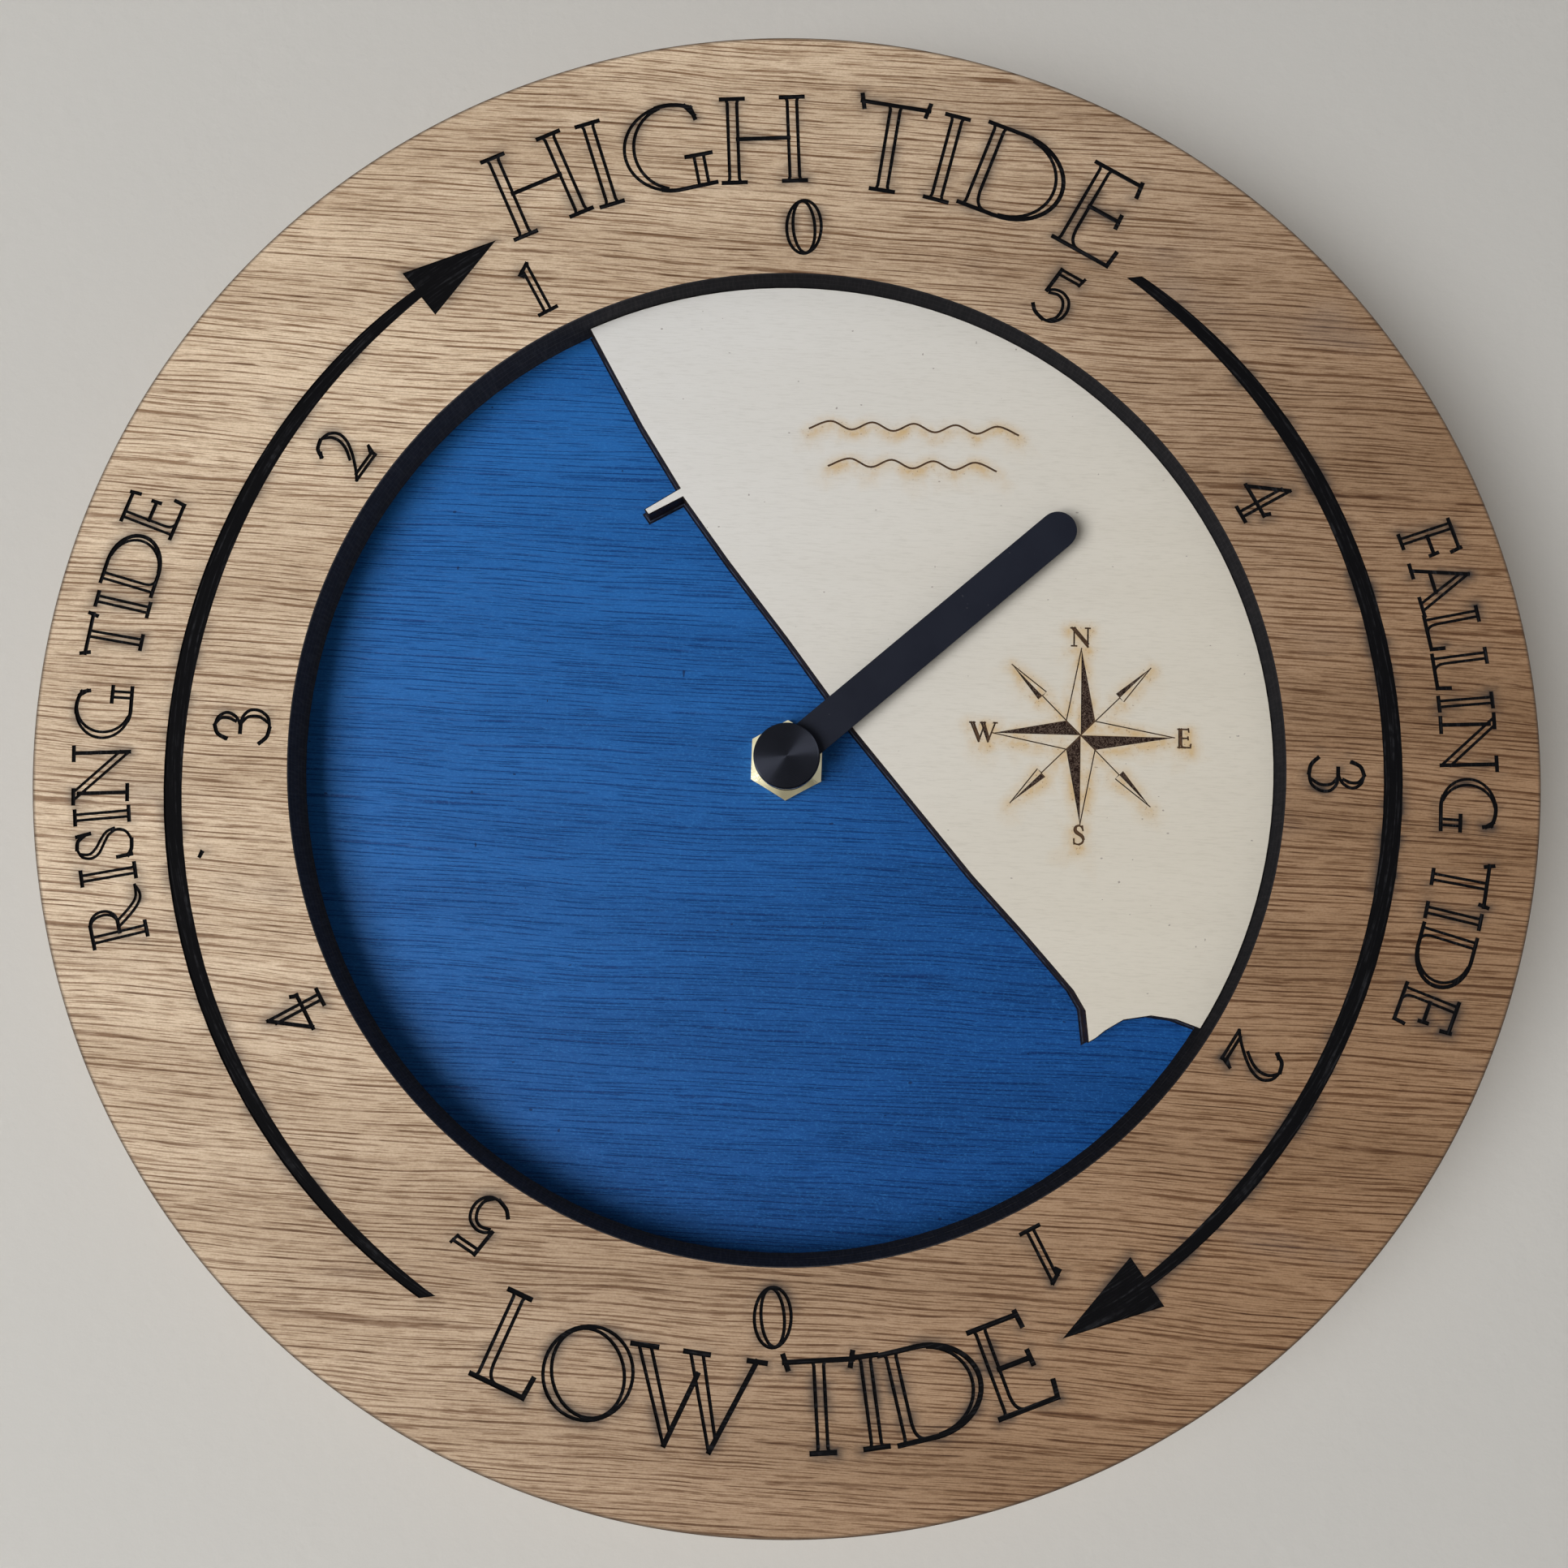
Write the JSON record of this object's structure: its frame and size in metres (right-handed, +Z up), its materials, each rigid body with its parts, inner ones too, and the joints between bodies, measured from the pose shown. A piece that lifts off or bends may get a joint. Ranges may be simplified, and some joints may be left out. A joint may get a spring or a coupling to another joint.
{
  "type": "tide clock",
  "caption": "Round wall-hung tide clock with a recessed sea and land dial, a turning hand and a quartz movement.",
  "frame": {"origin": "on the movement's flat back, in the wall plane, behind the hand's axis", "axes": "+Z up as the clock hangs, +X to the right seen from in front, and the dial faces -Y, away from the wall"},
  "size_m": [0.25, 0.0306, 0.25],
  "materials": {
    "stained_wood": "satin stained plywood, horizontal grain",
    "black_wood": "black painted plywood",
    "blue_wood": "satin blue paint over plywood grain",
    "pale_wood": "matt whitened birch plywood",
    "black_metal": "matt black",
    "brass": "polished",
    "rubber": "matt",
    "black_plastic": "fine texture",
    "knob_plastic": "satin",
    "white_plastic": "satin",
    "steel": "bright",
    "magnet": "sintered",
    "copper": "enamelled wire",
    "board_green": "solder mask",
    "chip_black": "moulded resin",
    "cell_sleeve": "plain dark sleeve",
    "spring_steel": "nickel plated"
  },
  "bodies": {
    "clock_body": {"front_ring": "stained_wood", "spacer_ring": "black_wood", "sea_disc": "blue_wood", "land_panel": "pale_wood", "threaded_bushing": "brass", "hex_nut": "brass", "rubber_washer": "rubber", "movement_case": "black_plastic", "back_cover": "black_plastic", "middle_plate": "white_plastic", "stator_plate": "steel", "coil_core": "steel", "coil_bobbin": "white_plastic", "coil_winding": "copper", "circuit_board": "board_green", "driver_chip": "chip_black", "quartz_crystal": "steel", "contact_negative": "spring_steel", "contact_positive": "spring_steel"},
    "hand": {"tide_wheel": "white_plastic", "hand_collet": "black_metal", "hand_blade": "black_metal", "hub_cap": "black_metal"},
    "transfer": {"transfer_wheel": "white_plastic"},
    "cannon": {"cannon_pinion": "steel", "clutch_washer": "steel"},
    "knob": {"setting_knob": "knob_plastic", "setting_pinion": "white_plastic"},
    "centre": {"centre_wheel": "white_plastic"},
    "third": {"third_wheel": "white_plastic"},
    "second": {"second_wheel": "white_plastic"},
    "intermediate": {"intermediate_wheel": "white_plastic"},
    "rotor": {"rotor_pinion": "white_plastic", "rotor_magnet": "magnet"},
    "cell": {"battery_cell": "cell_sleeve"}
  },
  "joints": [
    {"name": "hand_turn", "type": "hinge", "parent": "clock_body", "child": "hand", "pos_m": [0, 0, 0], "axis": [0, 1, 0], "continuous": true},
    {"name": "transfer_turn", "type": "hinge", "parent": "clock_body", "child": "transfer", "pos_m": [0, 0, 0.0098], "axis": [0, 1, 0], "continuous": true},
    {"name": "cannon_turn", "type": "hinge", "parent": "clock_body", "child": "cannon", "pos_m": [0, 0, 0], "axis": [0, 1, 0], "continuous": true},
    {"name": "knob_turn", "type": "hinge", "parent": "clock_body", "child": "knob", "pos_m": [0.01015, 0, 0.0098], "axis": [0, 1, 0], "continuous": true},
    {"name": "rotor_turn", "type": "hinge", "parent": "clock_body", "child": "rotor", "pos_m": [-0.00619, 0, 0.01736], "axis": [0, 1, 0], "continuous": true},
    {"name": "intermediate_turn", "type": "hinge", "parent": "clock_body", "child": "intermediate", "pos_m": [-0.01024, 0, 0.01253], "axis": [0, 1, 0], "continuous": true},
    {"name": "second_turn", "type": "hinge", "parent": "clock_body", "child": "second", "pos_m": [-0.01133, 0, 0.00639], "axis": [0, 1, 0], "continuous": true},
    {"name": "third_turn", "type": "hinge", "parent": "clock_body", "child": "third", "pos_m": [-0.009, 0, 0], "axis": [0, 1, 0], "continuous": true},
    {"name": "centre_turn", "type": "hinge", "parent": "clock_body", "child": "centre", "pos_m": [0, 0, 0], "axis": [0, 1, 0], "continuous": true},
    {"name": "cell_slide", "type": "slide", "parent": "clock_body", "child": "cell", "axis": [0, 1, 0], "range_m": [0, 0.02]}
  ],
  "couplings": [
    {"joint": "transfer_turn", "follows": "hand_turn", "ratio": -2.7},
    {"joint": "cannon_turn", "follows": "hand_turn", "ratio": 12.42},
    {"joint": "knob_turn", "follows": "hand_turn", "ratio": 10.35},
    {"joint": "intermediate_turn", "follows": "rotor_turn", "ratio": -0.16667},
    {"joint": "second_turn", "follows": "rotor_turn", "ratio": 0.033333},
    {"joint": "third_turn", "follows": "rotor_turn", "ratio": -0.0044444},
    {"joint": "centre_turn", "follows": "rotor_turn", "ratio": 0.00055556}
  ]
}
